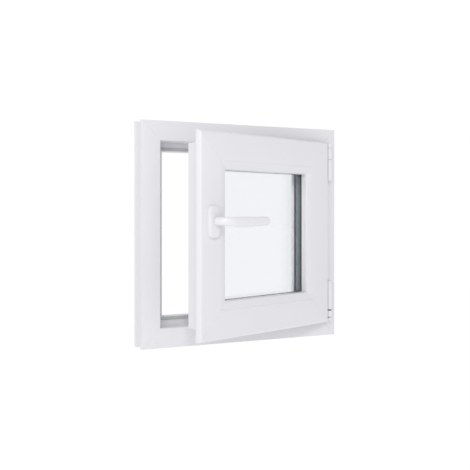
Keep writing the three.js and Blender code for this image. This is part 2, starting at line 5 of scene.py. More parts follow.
import bpy
import numpy as np
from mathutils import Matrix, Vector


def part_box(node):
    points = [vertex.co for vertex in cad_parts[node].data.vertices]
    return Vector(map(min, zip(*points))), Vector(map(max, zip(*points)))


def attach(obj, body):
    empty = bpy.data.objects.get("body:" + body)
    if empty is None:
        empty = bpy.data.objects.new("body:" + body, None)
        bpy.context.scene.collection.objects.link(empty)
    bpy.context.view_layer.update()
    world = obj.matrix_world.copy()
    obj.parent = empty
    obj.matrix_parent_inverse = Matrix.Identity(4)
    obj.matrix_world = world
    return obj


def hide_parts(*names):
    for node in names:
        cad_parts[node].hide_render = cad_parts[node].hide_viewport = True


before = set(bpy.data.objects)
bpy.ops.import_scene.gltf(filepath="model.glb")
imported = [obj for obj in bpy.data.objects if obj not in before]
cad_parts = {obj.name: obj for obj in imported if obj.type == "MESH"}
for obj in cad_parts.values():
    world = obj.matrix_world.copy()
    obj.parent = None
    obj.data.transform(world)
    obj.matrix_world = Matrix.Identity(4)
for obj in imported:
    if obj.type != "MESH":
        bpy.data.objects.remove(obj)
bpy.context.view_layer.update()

# ------------------------------------------------------------------ camera
# The window is seen from the room, from its left, a little above its middle. The camera is
# level, and its lens is shifted down so that uprights stay upright.

CAMERA_PLACE = (-0.8577, -1.6493, 0.2966)
CAMERA_TURN = math.radians(26.91)
CAMERA_LENS = 61.54
CAMERA_SHIFT = -0.0464

lens = bpy.data.cameras.new("room_camera")
lens.lens = CAMERA_LENS
lens.shift_y = CAMERA_SHIFT
camera = bpy.data.objects.new("room_camera", lens)
camera.location = CAMERA_PLACE
camera.rotation_euler = (math.pi / 2, 0, -CAMERA_TURN)
bpy.context.scene.collection.objects.link(camera)
bpy.context.scene.camera = camera

# ------------------------------------------------------------------ studio
# A white room: the floor and the walls glow evenly, as inside a light tent.
# They look pure white, and light the window more softly than they look. A small lamp close to
# the left brightens what faces it, and another, high in front, throws the lever's shadow.

bpy.context.scene.view_settings.view_transform = "Standard"

FLOOR_HALF = 12.0
FLOOR_DROP = 0.0004
FLOOR_GLOW, ROOM_GLOW, SEEN_GLOW = 0.91, 0.63, 1.03
ROOM_COLOUR = (0.985, 0.985, 1.0, 1)


def soft_on_surfaces(tree, source, strength):
    """Sets a glow's strength: the given one once light has met a matt surface (a diffuse depth of
    1 or more), and the brighter one it is seen with directly, in glass or in a gloss."""
    ray = tree.nodes.new("ShaderNodeLightPath")
    level = tree.nodes.new("ShaderNodeMapRange")
    level.inputs["To Min"].default_value = SEEN_GLOW
    level.inputs["To Max"].default_value = strength
    tree.links.new(ray.outputs["Diffuse Depth"], level.inputs["Value"])
    tree.links.new(level.outputs["Result"], source)


floor_mesh = bpy.data.meshes.new("floor")
floor_mesh.from_pydata([(x, y, -FLOOR_DROP) for x, y in ((-1, -1), (1, -1), (1, 1), (-1, 1))],
                       [], [(0, 1, 2, 3)])
floor = bpy.data.objects.new("floor", floor_mesh)
floor.scale = (FLOOR_HALF, FLOOR_HALF, 1)
bpy.context.scene.collection.objects.link(floor)
floor_paint = bpy.data.materials.new("floor_paint")
floor_paint.use_nodes = True
floor_shader = floor_paint.node_tree.nodes["Principled BSDF"]
floor_shader.inputs["Base Color"].default_value = (0.01, 0.01, 0.01, 1)
floor_shader.inputs["Roughness"].default_value = 0.9
floor_shader.inputs["Specular IOR Level"].default_value = 0
floor_shader.inputs["Emission Color"].default_value = ROOM_COLOUR
soft_on_surfaces(floor_paint.node_tree, floor_shader.inputs["Emission Strength"], FLOOR_GLOW)
floor_mesh.materials.append(floor_paint)

room = bpy.data.worlds.new("white_room")
room.use_nodes = True
walls = room.node_tree.nodes["Background"]
walls.inputs["Color"].default_value = ROOM_COLOUR
soft_on_surfaces(room.node_tree, walls.inputs["Strength"], ROOM_GLOW)
bpy.context.scene.world = room


def soft_lamp(name, place, aim, size, power):
    """A square area lamp at place, turned to face aim."""
    data = bpy.data.lights.new(name, "AREA")
    data.size = size
    data.energy = power
    lamp = bpy.data.objects.new(name, data)
    lamp.location = place
    away = np.subtract(place, aim)
    level = math.hypot(away[0], away[1])
    lamp.rotation_euler = (math.atan2(level, away[2]), 0, math.atan2(away[1], away[0]) + math.pi / 2)
    bpy.context.scene.collection.objects.link(lamp)


soft_lamp("near_lamp", (-1.25, -1.3, 0.6), (-0.1, 0, 0.25), 0.8, 4.4)
soft_lamp("front_lamp", (-1.0, -2.2, 1.4), (0, 0, 0.25), 0.35, 10.5)

# ------------------------------------------------------------------ outer frame
# Four lengths of white vinyl extrusion, mitred and welded at the corners. The room side has a
# broad face and a lip further back, which the shut sash closes against. Sections are drawn in
# millimetres as (distance in from the outer edge, depth behind the room face, corner radius).

LEG_HALF = 5
WIDE = round(2000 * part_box("frame_sill")[1].x)
HIGH = round(1000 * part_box("frame_head")[1].z)
SIDES = {"left": "frame_left_jamb", "right": "frame_right_jamb", "top": "frame_head",
         "bottom": "frame_sill"}

FRAME_SECTION = np.array([
    (0, 0, 0.9), (44, 0, 1.6), (44, 45, 0.6), (58.8, 45, 0.4), (58.8, 47.5, 0.2), (62, 47.5, 0.2),
    (62, 45, 0.4), (65.5, 45, 1.4), (65.5, 60, 1.4), (6, 60, 0.8), (6, 47, 0.5), (0, 47, 0.8),
    (0, 40, 0.8), (3, 40, 0.5), (3, 10, 0.5), (0, 10, 0.8), (0, 4.5, 0.3), (1.3, 4.2, 0.2),
    (1.3, 3.2, 0.2), (0, 2.9, 0.3)])


def filleted(corners, steps=5):
    """A closed outline through (x, y, radius) corners. Each corner becomes a quarter of an ellipse
    that touches both sides: corner + (1-sin q)(start-corner) + (1-cos q)(end-corner)."""
    corners = np.asarray(corners, float)
    place, radius = corners[:, :2], corners[:, 2:]
    back = np.roll(place, 1, axis=0) - place
    ahead = np.roll(place, -1, axis=0) - place
    start = radius * back / np.linalg.norm(back, axis=1, keepdims=True)
    end = radius * ahead / np.linalg.norm(ahead, axis=1, keepdims=True)
    q = np.linspace(0, math.pi / 2, steps)[None, :, None]
    curve = place[:, None] + (1 - np.sin(q)) * start[:, None] + (1 - np.cos(q)) * end[:, None]
    return curve.reshape(-1, 2)


def shrunk(loop, amount):
    """The closed outline moved inwards along its normals by amount."""
    run = np.roll(loop, -1, axis=0) - np.roll(loop, 1, axis=0)
    normal = np.stack([run[:, 1], -run[:, 0]], 1)
    normal /= np.linalg.norm(normal, axis=1, keepdims=True) + 1e-12
    after = np.roll(loop, -1, axis=0)
    turns = np.sign(np.sum(loop[:, 0] * after[:, 1] - loop[:, 1] * after[:, 0]))
    return loop - turns * amount * normal


def on_side(side, along, inward, depth):
    """Points in metres from millimetres along a side, in from its outer edge, and behind the
    room face: middle of the outer edge + along * run + inward * inside."""
    middle, run, inside = {
        "bottom": ((0, 0, 0), (1, 0, 0), (0, 0, 1)),
        "top": ((0, 0, HIGH), (-1, 0, 0), (0, 0, -1)),
        "left": ((-WIDE / 2, 0, HIGH / 2), (0, 0, -1), (1, 0, 0)),
        "right": ((WIDE / 2, 0, HIGH / 2), (0, 0, 1), (-1, 0, 0)),
    }[side]
    along, inward, depth = np.broadcast_arrays(along, inward, depth)
    points = np.array(middle) + along[..., None] * np.array(run) + inward[..., None] * np.array(inside)
    points[..., 1] += depth - LEG_HALF
    return points / 1000


def skin(grid, ring=False):
    """A closed surface over a grid whose rows each go round: quads between the rows, and a flat
    cap at each end unless the last row joins the first. Faces are turned outwards, which they
    are when the sum of a . (b x c) over a fan of triangles (a, b, c) in each face is above 0."""
    grid = np.asarray(grid, float)
    rows, loop = grid.shape[:2]
    r = np.arange(rows if ring else rows - 1)[:, None]
    i = np.arange(loop)[None, :]
    after = (r + 1) % rows
    quads = np.stack([r * loop + i, r * loop + (i + 1) % loop,
                      after * loop + (i + 1) % loop, after * loop + i], -1).reshape(-1, 4)
    caps = np.array([i[0, ::-1], i[0] + (rows - 1) * loop])
    groups = [quads] if ring else [quads, caps]
    points = grid.reshape(-1, 3)
    volume = 0.0
    for group in groups:
        corners = (points - points.mean(axis=0))[group]
        volume += np.sum(corners[:, :1] * np.cross(corners[:, 1:-1], corners[:, 2:]))
    return points, groups if volume > 0 else [group[:, ::-1] for group in groups]


def new_piece(name, skins, material, body, stands_for=(), uv=None, sharp=32):
    """One object from one or more closed surfaces, smooth except at edges sharper than an angle."""
    first = np.cumsum([0] + [len(points) for points, _ in skins])
    faces = [face for (_, groups), start in zip(skins, first)
             for group in groups for face in (group + start).tolist()]
    mesh = bpy.data.meshes.new(name)
    mesh.from_pydata(np.concatenate([points for points, _ in skins]).tolist(), [], faces)
    if uv is not None:
        corner = np.zeros(len(mesh.loops), np.int32)
        mesh.loops.foreach_get("vertex_index", corner)
        layer = mesh.uv_layers.new(name="run")
        layer.data.foreach_set("uv", np.asarray(uv, np.float32).reshape(-1, 2)[corner].ravel())
    mesh.shade_smooth()
    mesh.set_sharp_from_angle(angle=math.radians(sharp))
    mesh.materials.append(material)
    piece = bpy.data.objects.new(name, mesh)
    bpy.context.scene.collection.objects.link(piece)
    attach(piece, body)
    if stands_for:
        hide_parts(*stands_for)
    return piece


def mitred_bar(side, section, mitre_gap=0.05, weld=0.3):
    """A section carried along a side from mitre to mitre. Its last 0.3 mm draws in, which leaves
    the groove of the scraped weld. Returns the points, and their run and girth in metres."""
    reach = (WIDE if side in ("top", "bottom") else HIGH) / 2
    drawn_in = shrunk(section, weld * 0.7)
    rows = []
    for end, back, outline in ((-1, 0, drawn_in), (-1, weld, section), (1, weld, section),
                               (1, 0, drawn_in)):
        along = end * (reach - outline[:, 0] - mitre_gap - back)
        rows.append(on_side(side, along, outline[:, 0], outline[:, 1]))
    points = np.array(rows)
    step = np.linalg.norm(np.diff(section, axis=0), axis=1)
    girth = np.concatenate([[0], np.cumsum(step)]) / 1000
    run = np.linalg.norm(points - points[0, 0], axis=-1)
    return points, np.stack([run, np.broadcast_to(girth, run.shape)], -1)


def satin_surface(name, tone, gloss, coat, where, scale, mottle=0.985, bump=0.00003):
    """A plastic or painted finish whose colour drifts softly, and whose roughness and bump
    follow a fine noise read from the node where, at the given scale."""
    material = bpy.data.materials.new(name)
    material.use_nodes = True
    nodes, links = material.node_tree.nodes, material.node_tree.links
    shader = nodes["Principled BSDF"]
    shader.inputs["Specular IOR Level"].default_value = 0.45
    shader.inputs["Coat Weight"].default_value = coat
    shader.inputs["Coat Roughness"].default_value = 0.15
    spot = nodes.new("ShaderNodeTexCoord")
    cloud = nodes.new("ShaderNodeTexNoise")
    cloud.inputs["Scale"].default_value = 9
    links.new(spot.outputs["Object"], cloud.inputs["Vector"])
    tint = nodes.new("ShaderNodeValToRGB")
    tint.color_ramp.elements[0].position = 0.3
    tint.color_ramp.elements[0].color = tuple(mottle * c for c in tone) + (1,)
    tint.color_ramp.elements[1].position = 0.7
    tint.color_ramp.elements[1].color = tuple(tone) + (1,)
    links.new(cloud.outputs["Fac"], tint.inputs["Fac"])
    links.new(tint.outputs["Color"], shader.inputs["Base Color"])
    source = spot.outputs["Object"]
    if where == "run":
        strip = nodes.new("ShaderNodeUVMap")
        strip.uv_map = "run"
        source = strip.outputs["UV"]
    stretch = nodes.new("ShaderNodeMapping")
    stretch.inputs["Scale"].default_value = scale
    grain = nodes.new("ShaderNodeTexNoise")
    grain.inputs["Scale"].default_value = 1
    grain.inputs["Detail"].default_value = 3
    links.new(source, stretch.inputs["Vector"])
    links.new(stretch.outputs["Vector"], grain.inputs["Vector"])
    rough = nodes.new("ShaderNodeMapRange")
    rough.inputs["To Min"].default_value = gloss[0]
    rough.inputs["To Max"].default_value = gloss[1]
    links.new(grain.outputs["Fac"], rough.inputs["Value"])
    links.new(rough.outputs["Result"], shader.inputs["Roughness"])
    relief = nodes.new("ShaderNodeBump")
    relief.inputs["Strength"].default_value = 0.15
    relief.inputs["Distance"].default_value = bump
    links.new(grain.outputs["Fac"], relief.inputs["Height"])
    links.new(relief.outputs["Normal"], shader.inputs["Normal"])
    return material


VINYL_WHITE = (0.832, 0.830, 0.852)
DRAWN_LINES = (3, 900, 1)
frame_vinyl = satin_surface("frame_vinyl", VINYL_WHITE, (0.30, 0.40), 0.12, "run", DRAWN_LINES)
frame_outline = filleted(FRAME_SECTION)
for side, node in SIDES.items():
    points, run = mitred_bar(side, frame_outline)
    new_piece("vinyl_" + node, [skin(points)], frame_vinyl, "frame", [node], run)

# ------------------------------------------------------------------ steel inside the bars
# A galvanised channel stiffens the main chamber of each bar. It is cut short of the corners and
# held by screws, and it can't be seen once the bars are welded.


def spangled_zinc(name, tone, spread, crystal):
    """Hot-dip zinc: flat crystals, each with its own brightness and gloss."""
    material = bpy.data.materials.new(name)
    material.use_nodes = True
    nodes, links = material.node_tree.nodes, material.node_tree.links
    shader = nodes["Principled BSDF"]
    shader.inputs["Metallic"].default_value = 0.9
    spot = nodes.new("ShaderNodeTexCoord")
    cells = nodes.new("ShaderNodeTexVoronoi")
    cells.inputs["Scale"].default_value = crystal
    links.new(spot.outputs["Object"], cells.inputs["Vector"])
    tint = nodes.new("ShaderNodeValToRGB")
    tint.color_ramp.elements[0].color = tuple(c * (1 - spread) for c in tone) + (1,)
    tint.color_ramp.elements[1].color = tuple(tone) + (1,)
    links.new(cells.outputs["Color"], tint.inputs["Fac"])
    links.new(tint.outputs["Color"], shader.inputs["Base Color"])
    rough = nodes.new("ShaderNodeMapRange")
    rough.inputs["To Min"].default_value = 0.34
    rough.inputs["To Max"].default_value = 0.5
    links.new(cells.outputs["Distance"], rough.inputs["Value"])
    links.new(rough.outputs["Result"], shader.inputs["Roughness"])
    return material


def refinish(material, *names):
    """Gives a material to the model's own nodes."""
    for name in names:
        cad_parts[name].material_slots[0].material = material


galvanised = spangled_zinc("galvanised_sheet", (0.50, 0.52, 0.54), 0.35, 160)
refinish(galvanised, *(f"frame_steel_{side}" for side in SIDES))

# ------------------------------------------------------------------ drainage covers
# Two small hoods clipped over the drainage slots on the weather face of the sill, moulded in
# white plastic, open below so that water runs out.

moulded_white = satin_surface("moulded_white", (0.83, 0.83, 0.85), (0.34, 0.46), 0.05, "object",
                              (2600, 2600, 2600))
HOOD_WALL = 0.0013


def drain_hood(node):
    """An open shell: over u from -1 to 1 across and v from 0 to 1 up, its depth is that of the
    box times (1 - u^8)^(1/3) times (1 - v^10)^(1/2), and a wall thickness is added inside it."""
    low, high = (np.array(corner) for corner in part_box(node))
    u, v = np.meshgrid(np.sin(np.linspace(-1, 1, 41) * math.pi / 2), np.linspace(0, 1, 25) ** 0.6)
    bulge = np.cbrt(1 - u ** 8) * np.sqrt(1 - v ** 10)
    across = (low[0] + high[0]) / 2 + u * (high[0] - low[0]) / 2
    points = np.stack([across, low[1] + bulge * (high[1] - low[1]),
                       low[2] + v * (high[2] - low[2])], -1)
    rows, columns = u.shape
    k = (np.arange(rows - 1)[:, None] * columns + np.arange(columns - 1)).ravel()
    faces = np.stack([k, k + columns, k + columns + 1, k + 1], -1)
    hood = new_piece("hood_" + node, [(points.reshape(-1, 3), [faces])], moulded_white, "frame",
                     [node])
    wall = hood.modifiers.new("wall", "SOLIDIFY")
    wall.thickness = HOOD_WALL
    wall.offset = -1


for place in ("left", "right"):
    drain_hood(f"drain_cap_{place}")

# ------------------------------------------------------------------ frame seal
# A strip of light grey rubber with its foot pressed into the groove of the frame's lip. The
# shut sash lies against its bulb. It is mitred and glued at the corners.

FRAME_SEAL = [(59.1, 47.2, 0.2), (61.7, 47.2, 0.2), (61.7, 45.0, 0.3), (62.2, 44.0, 0.5),
              (60.8, 42.5, 1.2), (57.2, 42.5, 1.4), (55.3, 44.0, 0.7), (56.2, 44.9, 0.3),
              (59.1, 44.8, 0.2)]


def seal_rows(section, stops=None):
    """A section's (inward, depth) outline at each corner of the window, in order round it. With
    stops, two heights on the hinge side, the strip starts at the lower and ends at the upper."""
    inward, depth = section[:, 0], section[:, 1]
    turns = [("bottom", "right"), ("bottom", "left"), ("top", "left"), ("top", "right")]
    rows = []
    for end, flank in turns:
        x = (WIDE / 2 - inward) * (1 if flank == "right" else -1)
        z = inward if end == "bottom" else HIGH - inward
        rows.append(np.stack([x, depth - LEG_HALF, z], -1))
    if stops:
        hinge_side = [np.stack([WIDE / 2 - inward, depth - LEG_HALF, 0 * inward + z], -1)
                      for z in stops]
        rows = [hinge_side[0]] + rows + [hinge_side[1]]
    return np.array(rows) / 1000


def seal_rubber(name, tone):
    """Extruded rubber: matt, with a fine bloom on its surface."""
    return satin_surface(name, tone, (0.62, 0.8), 0, "object", (700, 700, 700), 0.9, 0.00006)


grey_rubber = seal_rubber("grey_seal_rubber", (0.56, 0.565, 0.58))
new_piece("frame_seal", [skin(seal_rows(filleted(FRAME_SEAL, 6)), ring=True)], grey_rubber, "frame",
          ["frame_gasket"], sharp=50)

# ------------------------------------------------------------------ keeps
# Die-cast zinc keeps screwed into the frame's rebate. A cam on the sash slides in behind the lug
# when the window locks. The one on the sill has a second lug, which holds the tilted sash.

CAM_DEPTH = 9.5
KEEP_REACH, KEEP_SHORT, SCREW_INSET = 30, 22, 8
LUG_NEAR, LUG_FAR = 6.6, 26
KEEPS = {"keep_head": ("top", 100, False), "keep_sill": ("bottom", -100, True)}


def stacked(outline, low, high, edge):
    """A plate: its outline at four heights, drawn in by edge at the bottom and at the top.
    Returns (a, b, height) rows."""
    levels = ((low, edge), (low + edge, 0), (high - edge, 0), (high, edge))
    return np.array([np.column_stack([shrunk(outline, inset), np.full(len(outline), level)])
                     for level, inset in levels])


def oblong(a0, a1, b0, b1, radius, steps=5):
    """A rectangle with rounded corners."""
    return filleted([(a0, b0, radius), (a1, b0, radius), (a1, b1, radius), (a0, b1, radius)], steps)


def turned(profile, steps=40):
    """A profile of (radius, height) turned once round. Returns (a, b, height) rows."""
    profile = np.asarray(profile, float)
    angle = np.linspace(0, 2 * math.pi, steps, endpoint=False)
    radius = profile[:, :1]
    return np.stack([radius * np.cos(angle), radius * np.sin(angle),
                     np.broadcast_to(profile[:, 1:], (len(profile), steps))], -1)


SCREW_RADIUS, CROSS_HALF, CROSS_DEEP = 3.3, 0.55, 1.1


def screw_head():
    """A domed disc with a cross in it: the surface drops by the cross's depth where either arm,
    which is where |a| or |b| is under its half width, passes within reach of the middle."""
    r = np.concatenate([np.linspace(0.02, 0.96, 26), [1.0, 1.0]])[::-1, None] * SCREW_RADIUS
    angle = np.linspace(0, 2 * math.pi, 64, endpoint=False)
    a, b = r * np.cos(angle), r * np.sin(angle)
    dome = 0.5 * (1 - (r / SCREW_RADIUS) ** 2)
    arm = 1 / (1 + (np.minimum(np.abs(a), np.abs(b)) / CROSS_HALF) ** 8)
    reach = 1 / (1 + (r / 1.9) ** 12)
    height = dome - CROSS_DEEP * arm * reach
    height[0] = -1.2
    return np.stack([a, b, height], -1)


def zinc_plate(name, tone, brushed=(300, 300, 300)):
    """Bright zinc plate: metal with a faint bluish cloud in its colour and a fine brushed grain."""
    material = satin_surface(name, tone, (0.26, 0.42), 0, "object", brushed, 0.86, 0.00002)
    material.node_tree.nodes["Principled BSDF"].inputs["Metallic"].default_value = 0.95
    return material


die_cast = zinc_plate("die_cast_zinc", (0.60, 0.61, 0.63), (900, 900, 900))


def keep_point(side, rows, middle=0):
    """Rows of (along, depth, inward) set on a side of the frame."""
    return on_side(side, rows[..., 0] + middle, rows[..., 2], rows[..., 1])


for node, (side, cam, holds_tilt) in KEEPS.items():
    end = KEEP_REACH if holds_tilt else KEEP_SHORT
    base = oblong(cam - KEEP_REACH, cam + end, 1.5, 18, 3)
    skins = [skin(keep_point(side, stacked(base, 44.3, 46.5, 0.4)))]
    lugs = [(cam - LUG_FAR, cam - LUG_NEAR)]
    if holds_tilt:
        lugs.append((cam + LUG_NEAR, cam + LUG_FAR))
    for start, stop in lugs:
        lug = stacked(oblong(start, stop, -0.6, 3.3, 1.2), 45.5, 52.8, 0.7)
        skins.append(skin(keep_point(side, lug)))
    for at in (cam - KEEP_REACH + SCREW_INSET, cam + end - 6):
        head = screw_head() + (at, 11.5, 46.6)
        skins.append(skin(keep_point(side, head)))
    new_piece("cast_" + node, skins, die_cast, "frame", [node])

# ------------------------------------------------------------------ top hinge
# Two white barrels on a plate screwed to the frame's face. The stay's knuckle turns between
# them, on a steel pin pushed in from above. The plate is cut back where the sash swings past.

BARREL_RADIUS, PIN_RADIUS, BORE_RADIUS = 6.0, 2.5, 2.9
pin_low, pin_high = (1000 * np.array(corner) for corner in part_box("top_hinge_pin"))
HINGE_X, HINGE_Y = (pin_low + pin_high)[:2] / 2
PLATE_FRONT, PLATE_BACK, WEB_FRONT = -3.3, -0.3, -14.0
PLATE_WIDE, PLATE_NARROW, PLATE_EDGE = 221.5, 230.0, 234.5
WEB_START, WEB_CLEARANCE = 3.2, 3.6

powder_coat = satin_surface("powder_coat", (0.845, 0.845, 0.865), (0.24, 0.34), 0.2, "object",
                            (1200, 1200, 1200))
bright_zinc = zinc_plate("bright_zinc", (0.66, 0.67, 0.69))


def upright(rows):
    """Rows of (x, y, z) in millimetres, in metres."""
    return np.asarray(rows, float) / 1000


def face_on(rows):
    """Rows of (x, z, depth behind the room face) in metres."""
    return np.stack([rows[..., 0], rows[..., 2] - LEG_HALF, rows[..., 1]], -1) / 1000


def on_hinge(rows):
    """Rows of a turned part set on the hinge's axis, in metres."""
    return (rows + (HINGE_X, HINGE_Y, 0)) / 1000


def barrel(z0, z1, bore=BORE_RADIUS, round_by=0.9):
    """A tube round the hinge's axis with rounded ends."""
    q = np.linspace(0, math.pi / 2, 6)
    rim = BARREL_RADIUS - round_by + round_by * np.sin(q)
    rise = round_by * (1 - np.cos(q))
    outer = np.concatenate([np.stack([rim, z0 + rise], 1), np.stack([rim, z1 - rise], 1)[::-1]])
    return turned(np.concatenate([outer, [(bore, z1), (bore, z0)]]), 48)


top_low, top_high = (1000 * np.array(corner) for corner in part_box("top_hinge_bracket"))
arm_low, arm_high = (1000 * np.array(corner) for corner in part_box("stay_arm"))
KNUCKLE_GAP = 0.5
LOWER_BARREL = (top_low[2], arm_low[2] - KNUCKLE_GAP)
UPPER_BARREL = (arm_high[2] + KNUCKLE_GAP, top_high[2])
plate = filleted([(PLATE_WIDE, LOWER_BARREL[0], 2), (PLATE_EDGE, LOWER_BARREL[0], 2),
                  (PLATE_EDGE, UPPER_BARREL[1], 2), (PLATE_WIDE, UPPER_BARREL[1], 2),
                  (PLATE_WIDE, UPPER_BARREL[0], 0.6), (PLATE_NARROW, UPPER_BARREL[0], 0.6),
                  (PLATE_NARROW, LOWER_BARREL[1], 0.6), (PLATE_WIDE, LOWER_BARREL[1], 0.6)])
skins = [skin(face_on(stacked(plate, PLATE_FRONT, PLATE_BACK, 0.5)))]
for z0, z1 in (LOWER_BARREL, UPPER_BARREL):
    web = oblong(HINGE_X + WEB_START, PLATE_EDGE, WEB_FRONT, PLATE_FRONT - LEG_HALF + 1, 0.8)
    skins.append(skin(upright(stacked(web, z0 + 0.5, z1 - 0.5, 0.5))))
    skins.append(skin(on_hinge(barrel(z0, z1)), ring=True))
new_piece("top_hinge_barrels", skins, powder_coat, "frame", ["top_hinge_bracket"])

pin_profile = [(0.02, pin_low[2]), (2.0, pin_low[2]), (PIN_RADIUS, pin_low[2] + 0.5),
               (PIN_RADIUS, pin_high[2] - 1.2), (2.2, pin_high[2] - 0.6),
               (1.4, pin_high[2] - 0.1), (0.02, pin_high[2])]
new_piece("hinge_pin", [skin(on_hinge(turned(pin_profile)))], bright_zinc, "hinge_swivel",
          ["top_hinge_pin"])

# ------------------------------------------------------------------ lower hinge on the frame
# A cup on a bracket at the foot of the hinge side. The sash stands on a steel ball in the cup,
# so that it can both turn and tilt.

foot_low, foot_high = (1000 * np.array(corner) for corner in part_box("lower_hinge_bracket"))
ball_low, ball_high = (1000 * np.array(corner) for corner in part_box("lower_hinge_ball"))
BALL_Z = (ball_low[2] + ball_high[2]) / 2
BALL_RADIUS = (ball_high[2] - ball_low[2]) / 2
SOCKET_RADIUS = BALL_RADIUS + 0.4
FOOT_TOP, CUP_TOP, CUP_RADIUS = 62.0, 43.5, 6.5

foot_plate = filleted([(PLATE_WIDE, foot_low[2], 2), (PLATE_EDGE, foot_low[2], 2),
                       (PLATE_EDGE, foot_high[2], 2), (PLATE_NARROW, foot_high[2], 1),
                       (PLATE_NARROW, FOOT_TOP, 0.6), (PLATE_WIDE, FOOT_TOP, 0.6)])
foot_web = oblong(HINGE_X + WEB_START, PLATE_EDGE, WEB_FRONT, PLATE_FRONT - LEG_HALF + 1, 0.8)
brim = math.asin((BALL_Z - CUP_TOP) / SOCKET_RADIUS)
dip = np.linspace(brim, math.pi / 2 - 0.01, 12)
bowl = np.stack([SOCKET_RADIUS * np.cos(dip), BALL_Z - SOCKET_RADIUS * np.sin(dip)], 1)
cup = np.concatenate([[(0.02, foot_low[2]), (5.8, foot_low[2]), (CUP_RADIUS, foot_low[2] + 0.7),
                       (CUP_RADIUS, CUP_TOP - 0.7), (5.8, CUP_TOP)], bowl])
new_piece("lower_hinge_cup", [
    skin(face_on(stacked(foot_plate, PLATE_FRONT, PLATE_BACK, 0.5))),
    skin(upright(stacked(foot_web, foot_low[2] + 0.5, CUP_TOP - 0.5, 0.5))),
    skin(on_hinge(turned(cup, 48)))], powder_coat, "frame",
    ["lower_hinge_bracket"])

tip = np.linspace(-math.pi / 2 + 0.01, math.pi / 2 - 0.01, 24)
ball = np.stack([BALL_RADIUS * np.cos(tip), BALL_Z + BALL_RADIUS * np.sin(tip)], 1)
new_piece("hinge_ball", [skin(on_hinge(turned(ball)))], bright_zinc, "hinge_swivel",
          ["lower_hinge_ball"])

# ------------------------------------------------------------------ sash bars
# The sash is a second welded frame of vinyl bars. Its lip overlaps the frame's face all round.
# It stands open by twenty degrees about the hinge's axis.

SASH_OPEN = math.radians(20)
SASH_SIDES = {"left": "sash_left_stile", "right": "sash_right_stile", "top": "sash_top_rail",
              "bottom": "sash_bottom_rail"}
SASH_SECTION = np.array([
    (33, -9.5, 1.2), (37, -18, 1.6), (94.6, -18, 0.3), (94.6, -7.8, 0.4), (90.3, -7.8, 0.5),
    (90.3, 33, 0.5), (109, 33, 0.8), (110, 35, 0.8), (108, 42, 1.5), (57, 42, 1.5),
    (56, 22, 0.6), (56, 17.8, 0.5), (57.5, 17.8, 0.3), (57.5, 14.3, 0.3), (62.2, 14.3, 0.3),
    (62.2, 4.7, 0.3), (57.5, 4.7, 0.3), (57.5, 1.2, 0.3), (56, 1.2, 0.5), (56, -4.5, 0.6),
    (39.9, -4.5, 0.3), (39.9, -7, 0.3), (36.9, -7, 0.3), (36.9, -4.5, 0.3), (33, -4.5, 0.7)])


def swung(points):
    """Points of the shut sash, in metres, turned open about the hinge's axis."""
    c, s = math.cos(SASH_OPEN), math.sin(SASH_OPEN)
    hinge = np.array((HINGE_X, HINGE_Y, 0)) / 1000
    return (points - hinge) @ np.array([[c, s, 0], [-s, c, 0], [0, 0, 1]]) + hinge


sash_vinyl = satin_surface("sash_vinyl", VINYL_WHITE, (0.30, 0.40), 0.12, "run", DRAWN_LINES)
sash_outline = filleted(SASH_SECTION)
for side, node in SASH_SIDES.items():
    points, run = mitred_bar(side, sash_outline)
    new_piece("vinyl_" + node, [skin(swung(points))], sash_vinyl, "sash",
              [node], run)
refinish(galvanised, "sash_steel_right", "sash_steel_top", "sash_steel_bottom")

# ------------------------------------------------------------------ sash seals
# Rubber strips: one behind the sash's lip, stopped where the hinge's straps pass it, and two
# darker ones that grip the glass from both sides.

LIP_SEAL = [(37.2, -6.7, 0.3), (39.6, -6.7, 0.3), (39.6, -4.2, 0.3), (40.6, -3.4, 0.5),
            (39.6, -1.5, 0.9), (36.6, -1.4, 0.9), (35.8, -3.4, 0.7), (37.2, -4.2, 0.3)]
BEAD_SEAL = [(108.5, 2.7, 0.3), (113.2, 2.7, 0.4), (113.6, 4.2, 0.6), (113.2, 5.7, 0.4),
             (108.5, 5.7, 0.3)]
FLANGE_SEAL = [(104.5, 30.3, 0.3), (108.6, 30.3, 0.4), (109.0, 31.5, 0.5), (108.6, 32.7, 0.4),
               (104.5, 32.7, 0.3)]
BAND_STOP, BAND_TOP, ARM_FOOT, ARM_STOP = 62, 133, 428, 456

lip_outline = filleted(LIP_SEAL)
x = WIDE / 2 - lip_outline[:, 0]
between_hinges = np.array([np.stack([x, lip_outline[:, 1] - LEG_HALF, 0 * x + z], -1)
                           for z in (BAND_TOP, ARM_FOOT)]) / 1000
new_piece("sash_lip_seal", [skin(swung(seal_rows(lip_outline, (BAND_STOP, ARM_STOP)))),
                            skin(swung(between_hinges))],
          grey_rubber, "sash", ["sash_gasket"], sharp=50)
dark_rubber = seal_rubber("dark_seal_rubber", (0.028, 0.028, 0.03))
for name, section, node in (("bead_seal", BEAD_SEAL, "bead_gasket"),
                            ("flange_seal", FLANGE_SEAL, "flange_gasket")):
    new_piece(name, [skin(swung(seal_rows(filleted(section))), ring=True)], dark_rubber, "sash",
              [node], sharp=50)

# ------------------------------------------------------------------ glass unit
# Two panes of clear float glass with ground edges, held apart by a dark warm-edge spacer and
# closed by a sealant. The unit stands on blue plastic packers.

GLASS_EDGE, PANE = 95.0, 4.0
PANES = {"glass_inner": 6.0, "glass_outer": 26.0}


